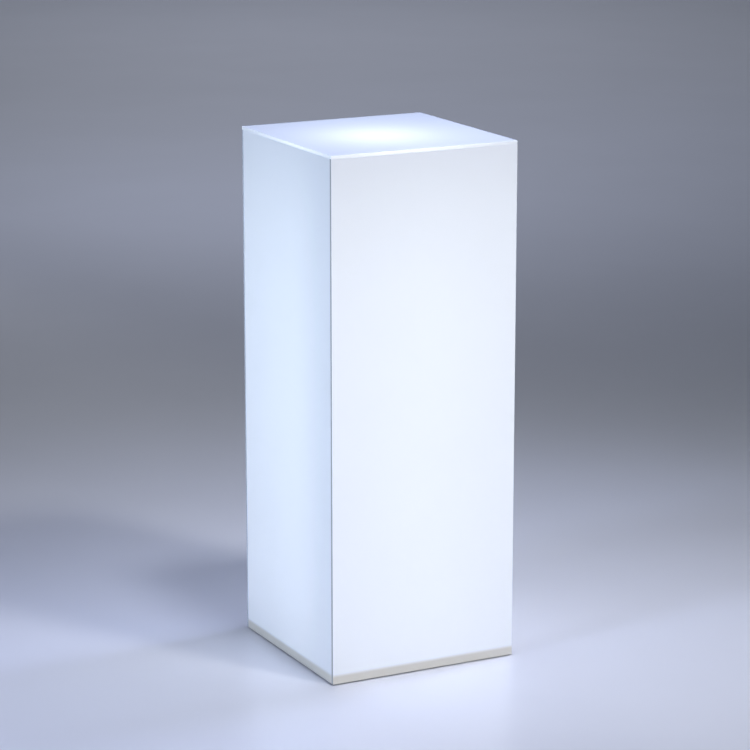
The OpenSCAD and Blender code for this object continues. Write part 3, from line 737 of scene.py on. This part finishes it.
class PEDESTAL_OT_strips(bpy.types.Operator):
    """Make the four light strips with their chips, resistors and solder pads"""

    bl_idname = "pedestal.strips"
    bl_label = "Light Strips"

    def execute(self, context):
        lights = context.scene.pedestal_lights
        mask, dark, tin, body, window = board_finishes(lights)
        low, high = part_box("light_strip_front")
        face, chip_face = low.y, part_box("strip_chips")[0].y
        sides = ("front", "right", "back", "left")
        # The model's chips are plain boxes of 12 triangles each
        count = len(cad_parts["strip_chips"].data.polygons) // 12 // len(sides)
        pitch = (high.z - low.z) / count
        chips = bmesh.new()
        for turn, name in enumerate(sides):
            around = Matrix.Rotation(math.tau * turn / len(sides), 4, "Z")
            bm = bmesh.new()
            block(bm, low, high)
            for k in range(count):
                cut = low.z + k * pitch
                middle = cut + pitch / 2
                place = around @ Matrix.Translation((0, face, middle))
                add_chip(chips, place, face - chip_face, lights.window)
                add_resistor(bm, Matrix.Translation((0, face, middle + RESISTOR_RISE)), 1, 2)
                if k % lights.section == 0:
                    # The strip may be cut here, so a pair of pads to solder to follows
                    for side in (-1, 1):
                        pad = (side * SOLDER_PAD_X, face - SOLDER_PAD_T / 2, cut + SOLDER_PAD_RISE)
                        block_at(bm, pad, (SOLDER_PAD, SOLDER_PAD_T, SOLDER_PAD), 2)
            bmesh.ops.transform(bm, matrix=around, verts=bm.verts)
            replaced = [f"light_strip_{name}"]
            add_piece(f"{name}_strip", bm, "base", [mask, dark, tin], replaced)
        add_piece("chips_of_strips", chips, "base", [body, window, tin], ["strip_chips"])
        return {"FINISHED"}


def board_finishes(lights):
    """Finishes of the circuit boards and what is soldered to them."""
    # White solder mask over copper: glossy enamel, faintly mottled
    mask = grained_finish(
        "white_solder_mask", ("EAECEA", "EEEFED"), (0.25, 0.31), 1.5, 0.05, IOR=1.55, depth=0.03 * MM,
    )
    # Glazed ceramic chip resistor
    dark = grained_finish("glazed_resistor", ("17181A", "222326"), (0.2, 0.3), 0.4, 0.05, IOR=1.55)
    # Reflowed solder: bright, soft and slightly uneven
    tin = grained_finish("reflowed_solder", ("B9BBBD", "D6D8D9"), (0.2, 0.38), 0.4, 0.2, Metallic=1.0)
    # Moulded polyphthalamide housing of a chip: white and satin
    body = grained_finish("chip_housing_ppa", ("E9EAE8", "F2F2EF"), (0.3, 0.4), 0.5, 0.04, IOR=1.54)
    # Phosphor in clear silicone, lit: yellowish when off, cool white when on
    material, tree, place, shader = new_finish("lit_phosphor_window")
    light = glowing(tree, linear("F4FBFF"), clouding(tree, place, 0.3, 0.1))
    feed(shader, {
        "Base Color": rgba("E9D56A"), "Roughness": 0.18, "IOR": 1.41,
        "Emission Color": light, "Emission Strength": lights.chip_glow,
    })
    return mask, dark, tin, body, material


def add_chip(bm, place, height, frame_w):
    """A chip on a board that looks toward -Y at the origin: housing, sunk window and four solder legs."""
    before = len(bm.verts)
    housing = block(bm, (-CHIP_HALF, -height, -CHIP_HALF), (CHIP_HALF, 0, CHIP_HALF))
    front = min({f for v in housing for f in v.link_faces}, key=lambda f: f.calc_center_median().y)
    bmesh.ops.inset_region(bm, faces=[front], thickness=frame_w, depth=0.0)
    bmesh.ops.translate(bm, verts=front.verts, vec=(0, WINDOW_DEPTH, 0))
    front.material_index = 1
    for side in (-1, 1):
        for row in (-1, 1):
            block_at(bm, (side * LEG_X, -LEG_H / 2, row * LEG_Z), (LEG_W, LEG_H, LEG_L), 2)
    bmesh.ops.transform(bm, matrix=place, verts=list(bm.verts)[before:])


def add_resistor(bm, place, glaze, solder):
    """A resistor along X on a board that looks toward -Y at the origin, with a solder cap on each end."""
    made = block_at(bm, (0, -RESISTOR_H / 2, 0), (RESISTOR_L, RESISTOR_H, RESISTOR_W), glaze)
    for end in (-1, 1):
        made += block_at(bm, (end * CAP_X, -CAP_H / 2, 0), (CAP_L, CAP_H, CAP_W), solder)
    bmesh.ops.transform(bm, matrix=place, verts=made)


class PEDESTAL_OT_top_light(bpy.types.Operator):
    """Make the round board at the column's top with its chips and connector"""

    bl_idname = "pedestal.top_light"
    bl_label = "Top Light"

    def execute(self, context):
        lights = context.scene.pedestal_lights
        mask, dark, tin, body, window = board_finishes(lights)
        # Aluminium faced on a lathe: fine rings round the middle, drawn coarser than the tool leaves them
        material, tree, place, shader = new_finish("turned_aluminium")
        rings = add_node(
            tree, "TexWave", {"Vector": place, "Scale": bands_of(0.6), "Distortion": 0.3},
            wave_type="RINGS", rings_direction="Z",
        )
        colour = add_node(tree, "Mix", {0: rings, 6: rgba("BFC2C6"), 7: rgba("D0D3D7")}, data_type="RGBA")
        feed(shader, {
            "Base Color": colour.outputs[2], "Metallic": 1.0,
            "Roughness": add_node(tree, "MapRange", {0: rings, 3: 0.26, 4: 0.36}),
            "Normal": add_node(tree, "Bump", {"Height": rings, "Strength": 0.2, "Distance": 0.04 * MM}),
        })
        eased_piece("crown_plate", "base", material, 0.3 * MM, 2)
        finish_node(mask, "disc_board")
        low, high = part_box("disc_chips")
        chips = bmesh.new()
        for radius, count, phase in CHIP_RINGS:
            for k in range(count):
                place = self.on_disc(radius, (k + phase) / count, low.z)
                add_chip(chips, place, high.z - low.z, lights.window)
        add_piece("chips_of_disc", chips, "base", [body, window, tin], ["disc_chips"])
        # A ring of resistors lies between the two rings of chips, each along the ring
        between = sum(radius for radius, count, phase in CHIP_RINGS) / len(CHIP_RINGS)
        parts = bmesh.new()
        for k in range(DISC_RESISTORS):
            place = self.on_disc(between, (k + 0.5) / DISC_RESISTORS, low.z)
            add_resistor(parts, place @ Matrix.Rotation(math.radians(90), 4, "Y"), 0, 1)
        add_piece("resistors_of_disc", parts, "base", [dark, tin], ())
        self.connector()
        return {"FINISHED"}

    def on_disc(self, radius, share, z):
        """Place on the round board at a share of a turn, for a part that looks toward -Y by itself."""
        around = Matrix.Rotation(math.tau * share, 4, "Z")
        return around @ Matrix.Translation((radius, 0, z)) @ Matrix.Rotation(math.radians(-90), 4, "X")

    def connector(self):
        """The connector in the middle of the round board: a housing with a mouth and two contacts."""
        low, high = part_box("disc_connector")
        bm = bmesh.new()
        block(bm, low, high)
        soften(bm, upright_edges(bm), CONNECTOR_ROUND, 3)
        top = max(bm.faces, key=lambda f: f.calc_center_median().z)
        bmesh.ops.inset_region(bm, faces=[top], thickness=CONNECTOR_WALL, depth=0.0)
        bmesh.ops.inset_region(bm, faces=[top], thickness=MOUTH_LEAN, depth=-MOUTH_DEPTH)
        rim = [e for e in sharp_edges(bm, 60) if all(v.co.z > high.z - NEAR for v in e.verts)]
        soften(bm, rim, CONNECTOR_EASE, 1)
        for x in (-CONTACT_X, CONTACT_X):
            contact = (x, 0, high.z - CONTACT_SUNK - CONTACT_H / 2)
            block_at(bm, contact, (CONTACT_W, CONTACT_L, CONTACT_H), 1)
        # Moulded polyamide 66, coloured white: satin and faintly waxy
        nylon = grained_finish("white_polyamide_66", ("E2E0D6", "EBE9E0"), (0.36, 0.5), 1, 0.1, IOR=1.53)
        # Stamped brass under tin: grey, with a soft shine
        brass = grained_finish("tinned_contact", ("C3C4C2", "D8D8D4"), (0.25, 0.36), 0.5, 0.1, Metallic=1.0)
        add_piece("connector_housing", bm, "base", [nylon, brass], ["disc_connector"])


class PEDESTAL_OT_inlet(bpy.types.Operator):
    """Finish the inlet bracket, the power jack and the switch with its rocker"""

    bl_idname = "pedestal.inlet"
    bl_label = "Inlet"

    def execute(self, context):
        # Cold-rolled steel, electro-galvanised: pale grey with fine rolling lines
        sheet = grained_finish(
            "galvanised_steel_sheet", ("A9ADB2", "C2C6CA"), (0.34, 0.46), 0.5, 0.12, Metallic=1.0,
            stretch=(0.02, 1, 1),
        )
        eased_piece("inlet_bracket", "base", sheet, 0.25 * MM, 2)
        # Glass-filled polyamide, spark-eroded mould: black with a fine tooth
        black = grained_finish("black_polyamide", ("1B1C1E", "25262A"), (0.42, 0.55), 0.35, 0.25, IOR=1.53)
        eased_piece("power_jack", "base", black, 0.3 * MM, 2)
        eased_piece("switch_body", "base", black, 0.3 * MM, 2)
        # Polycarbonate key from a polished mould: black and glossy, with faint waves
        gloss = grained_finish(
            "black_polycarbonate_key", ("101113", "17181B"), (0.12, 0.2), 4, 0.04, IOR=1.585,
        )
        eased_piece("rocker", "rocker", gloss, 0.3 * MM, 3)
        # Nickel plate on turned brass: bright and slightly warm
        nickel = grained_finish(
            "nickel_plated_brass", ("B9B4A8", "CFCABF"), (0.16, 0.28), 0.5, 0.06, Metallic=1.0,
        )
        eased_piece("jack_nut", "base", nickel, 0.2 * MM, 2)
        # Stamped brass under tin, wetted with solder: soft and a little uneven
        tinned = grained_finish(
            "tinned_brass_contact", ("BFBEB8", "D6D5CF"), (0.22, 0.36), 0.4, 0.12, Metallic=1.0,
        )
        finish_node(tinned, "jack_contacts", "switch_contacts")
        return {"FINISHED"}


class PEDESTAL_OT_wiring(bpy.types.Operator):
    """Finish the terminal block, the wires and the lead with its clip, grommet and sleeve"""

    bl_idname = "pedestal.wiring"
    bl_label = "Wiring"

    def execute(self, context):
        # Moulded polyamide 66 in its own colour: ivory and slightly waxy
        ivory = grained_finish("natural_polyamide_66", ("DDD6C2", "E8E2D0"), (0.38, 0.5), 1, 0.1, IOR=1.53)
        eased_piece("terminal_block", "base", ivory, 0.3 * MM, 2)
        # Brass turned from the bar and left bare: golden, with fine tool marks
        turned = grained_finish("turned_brass", ("B8934A", "CFAB62"), (0.24, 0.38), 0.4, 0.1, Metallic=1.0)
        finish_node(turned, "terminal_screws")
        # Soft PVC, extruded over the wire: a smooth skin, duller on the thicker lead
        red = grained_finish("red_pvc_jacket", ("A51E1C", "B62A26"), (0.3, 0.42), 1.5, 0.08, IOR=1.53)
        black = grained_finish("black_pvc_jacket", ("18191B", "232427"), (0.3, 0.42), 1.5, 0.08, IOR=1.53)
        grey = grained_finish("grey_pvc_jacket", ("9EA3A9", "ADB2B8"), (0.38, 0.5), 2, 0.12, IOR=1.53)
        self.round_wires("inlet_wires", [red, black], "wire_jacket")
        self.round_wires("strip_wires", [red], "wire_jacket")
        self.round_wires("column_lead", [grey], "lead_jacket")
        # Moulded EPDM rubber: matt and slightly dusty
        rubber = grained_finish("black_epdm_rubber", ("1C1D1F", "2A2B2D"), (0.6, 0.75), 0.6, 0.2, IOR=1.52)
        eased_piece("lead_grommet", "base", rubber, 0.4 * MM, 3)
        # Shrunk polyolefin sleeve: waxy, with faint wrinkles round it
        sleeve = grained_finish(
            "shrink_sleeve", ("2C2D30", "3A3B3F"), (0.36, 0.5), 1.2, 0.35, IOR=1.5, stretch=(1, 1, 3),
            depth=0.15 * MM,
        )
        eased_piece("splice_sleeve", "base", sleeve, 0.3 * MM, 2)
        # Moulded nylon in its own colour: milky white
        nylon = grained_finish("natural_nylon_clip", ("E3E3DC", "EDEDE7"), (0.35, 0.48), 1, 0.1, IOR=1.53)
        eased_piece("cable_clip", "base", nylon, 0.25 * MM, 2)
        return {"FINISHED"}

    def round_wires(self, node, finishes, slot):
        """Wires of the model with smooth round skins. A second finish is for the jack's own wire."""
        bm = bmesh.new()
        bm.from_mesh(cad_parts[node].data)
        bmesh.ops.remove_doubles(bm, verts=bm.verts, dist=WIRE_WELD)
        for face in bm.faces:
            face.material_index = 0
            face.smooth = True
        if len(finishes) > 1:
            # The jack's own wire reaches farthest to the front and left, and is one shell of its own
            reached = {min(bm.verts, key=lambda v: v.co.y + v.co.x)}
            to_visit = list(reached)
            while to_visit:
                for edge in to_visit.pop().link_edges:
                    fresh = set(edge.verts) - reached
                    reached |= fresh
                    to_visit.extend(fresh)
            for face in bm.faces:
                if face.verts[0] in reached:
                    face.material_index = 1
        add_piece(f"{node}_round", bm, "base", finishes, [node], 60)


# ---- Camera and stage ----


def aimed(position, target):
    """Matrix of a camera or lamp at a position, looking at a target."""
    position, target = Vector(position), Vector(target)
    turn = (target - position).to_track_quat("-Z", "Y").to_matrix().to_4x4()
    return Matrix.Translation(position) @ turn


def polar(azimuth, elevation, distance, target):
    """Point at an azimuth from the front, an elevation and a distance round a target."""
    level = math.cos(elevation)
    return Vector(target) + distance * Vector(
        (math.sin(azimuth) * level, -math.cos(azimuth) * level, math.sin(elevation))
    )


class PEDESTAL_OT_camera(bpy.types.Operator):
    """Place the camera at the photograph's viewing angle"""

    bl_idname = "pedestal.camera"
    bl_label = "Camera"

    def execute(self, context):
        stage = context.scene.pedestal_stage
        data = bpy.data.cameras.new("camera")
        data.sensor_width = 36
        data.lens = stage.lens
        data.clip_end = 200
        camera = bpy.data.objects.new("camera", data)
        context.scene.collection.objects.link(camera)
        target = stage.camera_target
        eye = polar(stage.camera_azimuth, stage.camera_elevation, stage.camera_distance, target)
        camera.matrix_world = aimed(eye, target)
        context.scene.camera = camera
        return {"FINISHED"}


# What a lamp is aimed at: the pedestal's lower half, its upper half, or the floor straight below the lamp
LOWER, UPPER, BELOW = (0, 0, 0.25), (0, 0, 0.58), None
# Name, position in metres, aim, diameter, power in watts, colour, spread in degrees. The keys and fills light
# the pedestal and draw its shadows, and the pools and washes light the floor beside and behind it
LAMPS = (
    ("key", (0.1, -1.5, 4.3), LOWER, 0.7, 2.7, "EBEFFF", 38),
    ("key_right", (1.2, -2.5, 3.5), LOWER, 0.6, 4.5, "FFFFFF", 55),
    ("right_fill", (1.8, 0.2, 3.4), LOWER, 0.6, 2.2, "BCCBFF", 42),
    ("left_fill", (-2.7, -0.7, 3.5), LOWER, 0.6, 2.6, "CED9FF", 55),
    ("pool_left", (-0.9, -0.1, 2.0), BELOW, 0.4, 1.2, "C8D4FF", 50),
    ("pool_right", (0.6, -0.6, 2.2), BELOW, 0.4, 0.6, "FFFFFF", 50),
    ("wash_near", (1.2, 3.2, 3.0), BELOW, 1.0, 7.5, "DEE5FF", 90),
    ("wash_middle_left", (1.7, 4.7, 4.0), BELOW, 1.4, 2.9, "FFFFFF", 90),
    ("wash_middle_right", (2.9, 4.1, 4.0), BELOW, 1.4, 3.9, "D1DBFF", 90),
    ("wash_far", (2.9, 6.4, 5.0), BELOW, 1.6, 15.5, "EAEEFF", 90),
    ("wash_end", (4.3, 9.0, 5.5), BELOW, 2.0, 18.5, "E3E9FF", 100),
    # Soft boxes low round the pedestal, one for each side, narrow enough to leave most of the floor alone
    ("box_left", (-3.4, -0.6, 0.35), UPPER, 0.6, 2.8, "DCEEFF", 36),
    ("box_front", (-0.4, -3.5, 0.35), UPPER, 0.6, 1.3, "FFFFFF", 36),
    ("box_back", (0.3, 3.5, 0.35), UPPER, 0.6, 2.4, "FFFFFF", 36),
    ("box_right", (3.5, 0.3, 0.35), UPPER, 0.6, 2.1, "FFFFFF", 36),
)


class PEDESTAL_OT_stage(bpy.types.Operator):
    """Make the plain satin floor, the studio lamps and the world"""

    bl_idname = "pedestal.stage"
    bl_label = "Stage"

    def execute(self, context):
        stage = context.scene.pedestal_stage
        bm = bmesh.new()
        bmesh.ops.create_circle(bm, cap_ends=True, segments=96, radius=stage.radius)
        mesh = bpy.data.meshes.new("floor")
        bm.to_mesh(mesh)
        bm.free()
        mesh.materials.append(self.floor_finish(stage))
        floor = bpy.data.objects.new("floor", mesh)
        context.scene.collection.objects.link(floor)
        for name, position, aim, size, power, tint, spread in LAMPS:
            data = bpy.data.lights.new(name, "AREA")
            data.shape = "DISK"
            data.size = size
            data.energy = power
            data.color = linear(tint)
            data.spread = math.radians(spread)
            lamp = bpy.data.objects.new(name, data)
            context.scene.collection.objects.link(lamp)
            lamp.matrix_world = aimed(position, aim or (*position[:2], 0))
            # The low boxes would be mirrored in the satin floor, so they have no mirror image
            lamp.visible_glossy = not name.startswith("box")
        self.studio(context.scene, stage)
        context.scene.view_settings.view_transform = "Standard"
        return {"FINISHED"}

    def studio(self, scene, stage):
        """A plain grey studio, darker where it meets the floor. Seen and mirrored it has its full tone, but
        it adds only a little light of its own."""
        world = bpy.data.worlds.new("studio")
        scene.world = world
        world.use_nodes = True
        tree = world.node_tree
        ray = add_node(tree, "LightPath").outputs
        seen = ray["Is Camera Ray"]
        for kind in ("Is Glossy Ray", "Is Transmission Ray"):
            seen = add_node(tree, "Math", {0: seen, 1: ray[kind]}, operation="ADD", use_clamp=True)
        # In a world, Object coordinates are the way that a ray goes, and their Z is the sine of its angle
        way = add_node(tree, "SeparateXYZ", {0: add_node(tree, "TexCoord").outputs["Object"]})
        tone = add_node(
            tree, "MapRange",
            {0: way.outputs["Z"], 1: 0.0, 2: HORIZON_RISE, 3: stage.horizon_tone, 4: stage.studio_tone},
            interpolation_type="SMOOTHSTEP",
        )
        level = add_node(tree, "MapRange", {0: seen, 3: stage.studio_light, 4: tone})
        feed(tree.nodes["Background"], {"Color": rgba("E8F1FF"), "Strength": level})

    def floor_finish(self, stage):
        """Satin-painted floor: pale, very slightly mottled, with a soft mirror image at a low angle."""
        material, tree, place, shader = new_finish("satin_painted_floor")
        shade = clouding(tree, place, 400, 0.015)
        feed(shader, {
            "Base Color": add_node(tree, "VectorMath", {0: stage.floor, "Scale": shade}, operation="SCALE"),
            "Roughness": stage.roughness, "IOR": 1.5,
        })
        return material


# ---- Add-on ----

STEPS = (
    PEDESTAL_OT_camera,
    PEDESTAL_OT_cover,
    PEDESTAL_OT_board,
    PEDESTAL_OT_column,
    PEDESTAL_OT_strips,
    PEDESTAL_OT_top_light,
    PEDESTAL_OT_inlet,
    PEDESTAL_OT_wiring,
    PEDESTAL_OT_stage,
)


class PEDESTAL_PT_pieces(bpy.types.Panel):
    """Lists the pedestal's pieces and their settings"""

    bl_idname = "PEDESTAL_PT_pieces"
    bl_label = "Illuminated Pedestal"
    bl_space_type = "VIEW_3D"
    bl_region_type = "UI"
    bl_category = "Pedestal"

    def draw(self, context):
        for step in STEPS:
            self.layout.operator(step.bl_idname)
        for name, group in SETTINGS.items():
            box = self.layout.box()
            for prop in group.__annotations__:
                box.prop(getattr(context.scene, name), prop)


def register():
    for group in SETTINGS.values():
        bpy.utils.register_class(group)
    for step in STEPS:
        bpy.utils.register_class(step)
    bpy.utils.register_class(PEDESTAL_PT_pieces)
    for name, group in SETTINGS.items():
        setattr(bpy.types.Scene, name, PointerProperty(type=group))


def unregister():
    for name in SETTINGS:
        delattr(bpy.types.Scene, name)
    bpy.utils.unregister_class(PEDESTAL_PT_pieces)
    for step in reversed(STEPS):
        bpy.utils.unregister_class(step)
    for group in reversed(SETTINGS.values()):
        bpy.utils.unregister_class(group)


def main():
    """Registers the add-on's classes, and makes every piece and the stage."""
    register()
    for step in STEPS:
        group, name = step.bl_idname.split(".")
        getattr(getattr(bpy.ops, group), name)()


if __name__ == "__main__":
    main()
